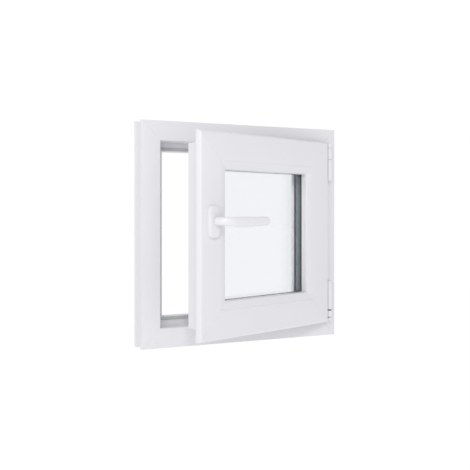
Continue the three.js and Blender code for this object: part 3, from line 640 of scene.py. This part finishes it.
def clear_glass(name):
    """Clear glass that lets light through without bending shadows: a transmissive surface mixed
    with plain transparency on shadow rays. A soft noise waves its surface a little."""
    material = bpy.data.materials.new(name)
    material.use_nodes = True
    nodes, links = material.node_tree.nodes, material.node_tree.links
    shader = nodes["Principled BSDF"]
    shader.inputs["Base Color"].default_value = (0.93, 0.937, 0.942, 1)
    shader.inputs["Transmission Weight"].default_value = 1
    shader.inputs["Roughness"].default_value = 0.0
    shader.inputs["IOR"].default_value = 1.5
    spot = nodes.new("ShaderNodeTexCoord")
    wave = nodes.new("ShaderNodeTexNoise")
    wave.inputs["Scale"].default_value = 4
    links.new(spot.outputs["Object"], wave.inputs["Vector"])
    relief = nodes.new("ShaderNodeBump")
    relief.inputs["Strength"].default_value = 0.02
    relief.inputs["Distance"].default_value = 0.0002
    links.new(wave.outputs["Fac"], relief.inputs["Height"])
    links.new(relief.outputs["Normal"], shader.inputs["Normal"])
    clear = nodes.new("ShaderNodeBsdfTransparent")
    clear.inputs["Color"].default_value = (0.97, 0.98, 0.98, 1)
    ray = nodes.new("ShaderNodeLightPath")
    mixed = nodes.new("ShaderNodeMixShader")
    links.new(ray.outputs["Is Shadow Ray"], mixed.inputs[0])
    links.new(shader.outputs[0], mixed.inputs[1])
    links.new(clear.outputs[0], mixed.inputs[2])
    links.new(mixed.outputs[0], nodes["Material Output"].inputs["Surface"])
    return material


float_glass = clear_glass("float_glass")
pane_outline = oblong(GLASS_EDGE - WIDE / 2, WIDE / 2 - GLASS_EDGE, GLASS_EDGE,
                      HIGH - GLASS_EDGE, 1.5)
for node, depth in PANES.items():
    rows = stacked(pane_outline, depth, depth + PANE, 0.5)
    new_piece("pane_" + node, [skin(swung(face_on(rows)))], float_glass, "sash", [node])


def dotted_spacer(name, tone):
    """A dark bar whose inner face is pricked with rows of fine vent holes, made from the distance
    to the nearest point of a regular grid of cells. The holes are real; their near-black is painted
    shade inside them."""
    material = satin_surface(name, tone, (0.38, 0.5), 0, "object", (900, 900, 900), 0.9)
    nodes, links = material.node_tree.nodes, material.node_tree.links
    spot = nodes.new("ShaderNodeTexCoord")
    cells = nodes.new("ShaderNodeTexVoronoi")
    cells.inputs["Scale"].default_value = 400
    cells.inputs["Randomness"].default_value = 0
    links.new(spot.outputs["Object"], cells.inputs["Vector"])
    # The holes' near-black colour is painted shade: it stands for the shadow inside each hole.
    holes = nodes.new("ShaderNodeValToRGB")
    holes.color_ramp.elements[0].position = 0.16
    holes.color_ramp.elements[0].color = (0.02, 0.02, 0.022, 1)
    holes.color_ramp.elements[1].position = 0.2
    holes.color_ramp.elements[1].color = tuple(tone) + (1,)
    links.new(cells.outputs["Distance"], holes.inputs["Fac"])
    links.new(holes.outputs["Color"], nodes["Principled BSDF"].inputs["Base Color"])
    return material


spacer_bar = dotted_spacer("spacer_bar", (0.16, 0.185, 0.215))
edge_sealant = seal_rubber("edge_sealant", (0.035, 0.036, 0.04))
for name, edges, material, slot, node in (
        ("warm_edge_spacer", (101.0, 107.5), spacer_bar, "spacer", "glass_spacer"),
        ("edge_sealant", (95.3, 100.7), edge_sealant, "sealant", "glass_edge_seal")):
    section = oblong(*edges, 10.3, 25.7, 0.5)
    new_piece(name, [skin(swung(seal_rows(section)), ring=True)], material, "sash", [node])

packer_blue = satin_surface("packer_blue", (0.05, 0.17, 0.46), (0.4, 0.55), 0, "object",
                            (700, 700, 700), 0.9)
refinish(packer_blue, *(f"glazing_block_{k}" for k in (1, 2, 3, 4)))

# ------------------------------------------------------------------ glazing beads
# Four white beads snapped in from the room hold the glass. Their faces slope down to it.

BEAD_SECTION = [(94.65, -17.8, 0.25), (111.6, -12.6, 1.5), (113, -10, 1), (113, 2.4, 0.3),
                (90.6, 2.4, 0.4), (90.6, -7.5, 0.4), (94.65, -7.5, 0.1)]
bead_outline = filleted(BEAD_SECTION)
for side in SASH_SIDES:
    points, run = mitred_bar(side, bead_outline, weld=0.15)
    new_piece("snapped_bead_" + side, [skin(swung(points))], sash_vinyl, "sash",
              [f"bead_{side}"], run)

# ------------------------------------------------------------------ lower hinge on the sash
# A white sleeve on a strap that wraps the stile and is screwed to it. It stands on the ball. A
# near-black ring in the groove between the sleeve's two parts is painted shade for the shadow in that
# recess.

SLEEVE_FOOT, RING_FOOT, RING_TOP, SLEEVE_TOP = 46.6, 61.2, 64.2, 134.0
NECK_RADIUS = 4.6
rim = math.asin((SLEEVE_FOOT - BALL_Z) / SOCKET_RADIUS)
rise = np.linspace(math.pi / 2 - 0.01, rim, 12)
socket = np.stack([SOCKET_RADIUS * np.cos(rise), BALL_Z + SOCKET_RADIUS * np.sin(rise)], 1)
q = np.linspace(0, math.pi / 2, 10)[:-1]
dome = np.stack([BARREL_RADIUS * np.cos(q), SLEEVE_TOP - 2.2 * (1 - np.sin(q))], 1)
sleeve = np.concatenate([socket, [
    (5.5, SLEEVE_FOOT), (6, SLEEVE_FOOT + 0.5), (6, RING_FOOT - 0.4), (5.6, RING_FOOT),
    (NECK_RADIUS, RING_FOOT), (NECK_RADIUS, RING_TOP), (5.6, RING_TOP), (6, RING_TOP + 0.4)],
    dome, [(0.02, SLEEVE_TOP)]])
STRAP_X, STRAP_FRONT, STRAP_BACK = 194.3, -8.9, -6.4
strap = filleted([(STRAP_X, STRAP_FRONT, 1.6), (HINGE_X + 1, STRAP_FRONT, 0.6),
                  (HINGE_X + 1, STRAP_BACK, 0.6), (STRAP_X + 2.2, STRAP_BACK, 0.5),
                  (STRAP_X + 2.2, 14, 0.5), (STRAP_X, 14, 0.5)])
band_web = oblong(HINGE_X - 5, HINGE_X + 1, HINGE_Y + WEB_CLEARANCE, STRAP_BACK, 0.6)
new_piece("lower_hinge_sleeve", [
    skin(swung(on_hinge(turned(sleeve, 48)))),
    skin(swung(upright(stacked(strap, 66, 128, 0.4)))),
    skin(swung(upright(stacked(band_web, 66.4, 127.6, 0.4))))], powder_coat, "sash",
    ["lower_hinge_band"])
# Painted shade: a near-black ring set in the sleeve's groove stands for the shadow inside that recess.
shade_ring_profile = [(NECK_RADIUS - 0.3, RING_FOOT + 0.1), (5.0, RING_FOOT + 0.1),
                (5.0, RING_TOP - 0.1), (NECK_RADIUS - 0.3, RING_TOP - 0.1)]
new_piece("hinge_groove_painted_shade", [skin(swung(on_hinge(turned(shade_ring_profile, 48))), ring=True)],
          dark_rubber, "sash")

# ------------------------------------------------------------------ tilt stay
# A zinc-plated arm in the sash's head groove. It ends in a knuckle on the top hinge, which has a
# white cover. When the sash tilts, the arm swings in over it.

EYE_X, EYE_RADIUS, ARM_BACK, ARM_CORNER = -3.0, 5.5, 12.5, 204.0
EYE_Y, ARM_FRONT, JOIN_X = 4.5, -3.5, 16.0
ARM_Z = (450.0, 453.0)
STAY_STRAP_X, STAY_STRAP_FRONT, STAY_STRAP_BACK, SHANK = 199, -8.4, -5.9, 12
KNUCKLE = (arm_low[2], arm_high[2])


def pierced(outline, hole, low, high, edge):
    """A plate with a hole: an outline drawn in by edge at the bottom and at the top, and a hole
    with the same number of points. Returns (a, b, height) rows that close on themselves."""
    walls = stacked(outline, low, high, edge)
    bore = stacked(hole, low, high, -edge / 2)[::-1]
    return np.concatenate([walls, bore])


eye_end = filleted([(JOIN_X, ARM_FRONT, 0.2), (JOIN_X, ARM_BACK, 0.2),
                    (EYE_X - 8, ARM_BACK, 7.8), (EYE_X - 8, ARM_FRONT, 7.8)], 9)
eye_hole = oblong(EYE_X - EYE_RADIUS, EYE_X + EYE_RADIUS, EYE_Y - EYE_RADIUS,
                  EYE_Y + EYE_RADIUS, EYE_RADIUS - 0.05, 9)
eye_hole = np.roll(eye_hole, -9, axis=0)
arm_bar = filleted([(JOIN_X, ARM_FRONT, 0.2), (ARM_CORNER - SHANK, ARM_FRONT, 1.5),
                    (ARM_CORNER - SHANK, STAY_STRAP_FRONT, 1.5), (ARM_CORNER, STAY_STRAP_FRONT, 0.5),
                    (ARM_CORNER, ARM_BACK, 4), (JOIN_X, ARM_BACK, 0.2)])
strap = oblong(STAY_STRAP_X, HINGE_X, STAY_STRAP_FRONT, STAY_STRAP_BACK, 0.6)
web = oblong(HINGE_X - 5, HINGE_X + 2, HINGE_Y + WEB_CLEARANCE, STAY_STRAP_BACK, 0.6)
new_piece("stay_bar", [
    skin(swung(upright(pierced(eye_end, eye_hole, *ARM_Z, 0.3))), ring=True),
    skin(swung(upright(stacked(arm_bar, *ARM_Z, 0.3)))),
    skin(swung(upright(stacked(strap, KNUCKLE[0] + 4, KNUCKLE[1] - 0.5, 0.4)))),
    skin(swung(upright(stacked(web, KNUCKLE[0], KNUCKLE[1], 0.4))))], bright_zinc, "stay",
    ["stay_arm"])
new_piece("stay_knuckle_cover", [skin(swung(on_hinge(barrel(*KNUCKLE))), ring=True)],
          powder_coat, "stay", ["stay_arm"])

pivot_low, pivot_high = (1000 * np.array(corner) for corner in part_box("stay_pivot"))
STUD_RADIUS, FOOT_HALF = 2.5, 14
pivot_foot = oblong(EYE_X - FOOT_HALF, EYE_X + FOOT_HALF, 0, 9, 2)
stud = [(0.02, pivot_low[2] + 1.5), (STUD_RADIUS, pivot_low[2] + 1.5), (STUD_RADIUS, pivot_high[2] - 1),
        (2.1, pivot_high[2] - 0.4), (1.2, pivot_high[2]), (0.02, pivot_high[2])]
new_piece("stay_stud", [
    skin(swung(upright(stacked(pivot_foot, pivot_low[2], pivot_low[2] + 1.9, 0.3)))),
    skin(swung(upright(turned(stud, 32) + (EYE_X, EYE_Y, 0))))], bright_zinc, "sash",
    ["stay_pivot"])

# ------------------------------------------------------------------ locking gear in the groove
# Zinc-plated strips run round the sash's groove: face plates, slotted where a cam stands up
# through them, an angle round each corner, and beneath them the rods. The top and bottom rods
# carry a locking cam each, and the left one has the rack that the handle's wheel drives.

FACE = (55.8, 57.2)
FACE_DEPTH = (1.6, 17.4)
SLOT_HALF_LENGTH, SLOT_HALF_WIDTH, SLOT_PLATE_HALF = 17.49, 3.4, 22.0
FACE_PLATES = {"faceplate_left": ("left", -133.7, 133.7, ()),
               "faceplate_top": ("top", -176, 133.7, (100,)),
               "faceplate_bottom": ("bottom", -133.7, 40, (-100,))}


def sash_point(side, rows):
    """Rows of (along, depth, inward) set on a side of the open sash."""
    return swung(on_side(side, rows[..., 0], rows[..., 2], rows[..., 1]))


for node, (side, start, stop, cams) in FACE_PLATES.items():
    skins, begin = [], start
    for cam in sorted(cams):
        outer = oblong(cam - SLOT_PLATE_HALF, cam + SLOT_PLATE_HALF, *FACE_DEPTH, 0.05)
        slot_hole = oblong(cam - SLOT_HALF_LENGTH, cam + SLOT_HALF_LENGTH, CAM_DEPTH - SLOT_HALF_WIDTH,
                           CAM_DEPTH + SLOT_HALF_WIDTH, SLOT_HALF_WIDTH - 0.05)
        skins.append(skin(sash_point(side, pierced(outer, slot_hole, *FACE, 0.02)), ring=True))
        skins.append(skin(sash_point(side, stacked(
            oblong(begin, cam - SLOT_PLATE_HALF, *FACE_DEPTH, 0.05), *FACE, 0.02))))
        begin = cam + SLOT_PLATE_HALF
    skins.append(skin(sash_point(side, stacked(oblong(begin, stop, *FACE_DEPTH, 0.05), *FACE, 0.02))))
    new_piece("slotted_" + node, skins, bright_zinc, "sash", [node])

CORNER_LEG = 60.0
for node, height in (("corner_drive_top", HIGH), ("corner_drive_bottom", 0)):
    away = -1 if height else 1
    near, far = FACE
    angle = [(near, near, 0.8), (near + CORNER_LEG, near, 0.1), (near + CORNER_LEG, far, 0.1),
             (far, far, 0.6), (far, near + CORNER_LEG, 0.1), (near, near + CORNER_LEG, 0.1)]
    outline = filleted([(w - WIDE / 2, height + away * v, r) for w, v, r in angle])
    new_piece("angle_" + node, [skin(swung(face_on(stacked(outline, *FACE_DEPTH, 0.2))))],
              bright_zinc, "sash", [node])

ROD_TOP, ROD_BACK, ROD_DEPTH = 57.6, 59.3, (5.5, 13.5)
RACK_PITCH, RACK_TIP, RACK_MIDDLE, RACK_TEETH = math.pi, 61.4, -29.0, 12
CAM_PROFILE = [(0.02, 49.6), (1.7, 49.6), (1.7, 47.6), (2.0, 47.5), (3.8, 47.5), (4.3, 47.8),
               (4.5, 48.4), (4.5, 55.0), (4.2, 55.5), (2.75, 55.5), (2.75, 58.1), (0.02, 58.1)]
RODS = {"left": (-115, 115, ()), "top": (68, 126, (100,)), "bottom": (-126, -68, (-100,))}


def cam_head(side, along):
    """A cam turned from steel, with a socket in its head, set on a side of the sash."""
    return sash_point(side, turned(CAM_PROFILE, 32) + (along, CAM_DEPTH, 0))


for side, (start, stop, cams) in RODS.items():
    edge = np.array([(start, ROD_TOP), (stop, ROD_TOP), (stop, ROD_BACK)])
    if side == "left":
        middle = RACK_MIDDLE + RACK_PITCH * np.linspace(5.5, -5.5, RACK_TEETH)[:, None]
        tooth = np.stack([middle + (0.95, 0.3, -0.3, -0.95),
                          np.broadcast_to((ROD_BACK, RACK_TIP, RACK_TIP, ROD_BACK),
                                          (RACK_TEETH, 4))], -1)
        edge = np.concatenate([edge, tooth.reshape(-1, 2)])
    edge = np.concatenate([edge, [(start, ROD_BACK)]])
    rows = np.array([np.column_stack([edge[:, 0], np.full(len(edge), depth), edge[:, 1]])
                     for depth in ROD_DEPTH])
    skins = [skin(sash_point(side, rows))] + [skin(cam_head(side, cam)) for cam in cams]
    new_piece("rod_with_cams_" + side, skins, bright_zinc, f"rod_{side}",
              [f"drive_rod_{side}"])

# ------------------------------------------------------------------ gear behind the handle
# A cast gearbox in the stile holds a steel wheel, which the handle's square spindle turns. Two
# screws go through the handle's cast base into the gearbox.

refinish(die_cast, "gearbox", "handle_base")
refinish(bright_zinc, "gear_pinion", "handle_spindle", "handle_screw_lower", "handle_screw_upper")

# ------------------------------------------------------------------ handle
# A white rosette with a softly domed face, and a powder-coated lever with an oval grip, which
# leaves it square to the sash, bends over and runs level.

HANDLE_AT = (-180.5, -23.0, 279.0)
ROSETTE_HALF, ROSETTE_SQUARENESS = (17.0, 34.0), 3.6
ROSETTE_BORE = 5.8
# Each row: how far out from the middle to the rim, and how far out from the sash.
ROSETTE_ROWS = [(0.90, 0.3), (1.0, 0.3), (1.0, 0.9), (1.0, 2.2), (0.997, 3.6), (0.985, 5.2),
                (0.965, 6.4), (0.935, 7.3), (0.89, 8.05), (0.82, 8.65), (0.70, 9.15),
                (0.52, 9.55), (0.30, 9.85), (0.12, 9.97), (0.0, 10.0), (0.0, 8.0),
                (0.45, 7.7), (0.80, 6.6), (0.90, 4.5)]


def handle_point(rows):
    """Rows of (along the lever, up, out from the sash) set on the open sash, in metres."""
    shut = np.stack([HANDLE_AT[0] + rows[..., 0], HANDLE_AT[1] - rows[..., 2],
                     HANDLE_AT[2] + rows[..., 1]], -1)
    return swung(shut / 1000)


def rounded(angle, halves, power):
    """A superellipse: |a / half|^p + |b / half|^p = 1."""
    c, s = np.cos(angle), np.sin(angle)
    a = halves[0] * np.sign(c) * np.abs(c) ** (2 / power)
    b = halves[1] * np.sign(s) * np.abs(s) ** (2 / power)
    return np.stack([a, b], -1)


angle = np.linspace(0, 2 * math.pi, 96, endpoint=False)
rim = rounded(angle, ROSETTE_HALF, ROSETTE_SQUARENESS)
hole = rounded(angle, (ROSETTE_BORE, ROSETTE_BORE), 2)
out, rise = np.array(ROSETTE_ROWS)[:, 0, None, None], np.array(ROSETTE_ROWS)[:, 1, None, None]
flat = hole + out * (rim - hole)
rosette = np.concatenate([flat, np.broadcast_to(rise, flat.shape[:2] + (1,))], -1)
new_piece("rosette", [skin(handle_point(rosette), ring=True)], moulded_white, "sash",
          ["handle_cover"], sharp=50)

LEVER_FOOT, LEVER_REACH, LEVER_BEND, LEVER_LENGTH = 10.4, 42.0, 34.0, 130.0
LEVER_BEZIER = np.array([(0, LEVER_FOOT), (0, 31), (8, LEVER_REACH), (LEVER_BEND, LEVER_REACH)])
LEVER_SQUARENESS = 2.5
ROUND_TIP = 0.935


def eased(t, low, high):
    """0 below low, 1 above high, and 3x^2 - 2x^3 between."""
    x = np.clip((t - low) / (high - low), 0, 1)
    return x * x * (3 - 2 * x)


def lever_rows():
    """A superellipse carried along a Bezier bend and a straight grip, at even steps of arc."""
    s = np.linspace(0, 1, 200)[:, None]
    b0, b1, b2, b3 = LEVER_BEZIER
    bend = (1 - s) ** 3 * b0 + 3 * s * (1 - s) ** 2 * b1 + 3 * s ** 2 * (1 - s) * b2 + s ** 3 * b3
    grip = b3 + s[1:] * (LEVER_LENGTH - LEVER_BEND, -1)
    path = np.concatenate([bend, grip])
    arc = np.concatenate([[0], np.cumsum(np.linalg.norm(np.diff(path, axis=0), axis=1))])
    arc /= arc[-1]
    t = np.concatenate([np.linspace(0, ROUND_TIP, 60), 1 - (1 - ROUND_TIP)
                        * (1 - np.sin(np.linspace(0, math.pi / 2, 16)[1:]))])
    centre = np.stack([np.interp(t, arc, path[:, 0]), np.interp(t, arc, path[:, 1])], -1)
    heading = np.gradient(centre, t, axis=0)
    heading /= np.linalg.norm(heading, axis=1, keepdims=True)
    cut = np.sqrt(np.clip(1 - np.clip((t - ROUND_TIP) / (1 - ROUND_TIP), 0, 1) ** 2, 0.0004, 1))
    foot = 1 - 0.10 * (1 - eased(t, 0, 0.015))
    high = (8.7 + 1.6 * eased(t, 0.12, 0.36) - 1.1 * eased(t, 0.6, 1)) * cut * foot
    thick = (7.8 - 2.7 * eased(t, 0.06, 0.36)) * cut * foot
    lift = 1.3 - 1.3 * eased(t, 0.12, 0.36) + 1.1 * eased(t, 0.6, 1)
    a, b = rounded(np.linspace(0, 2 * math.pi, 48, endpoint=False), (1, 1), LEVER_SQUARENESS).T
    side = thick[:, None] * a
    return np.stack([centre[:, :1] + side * heading[:, 1:], lift[:, None] + high[:, None] * b,
                     centre[:, 1:] - side * heading[:, :1]], -1)


new_piece("lever_grip", [skin(handle_point(lever_rows()))], powder_coat, "handle",
          ["handle_lever"], sharp=60)
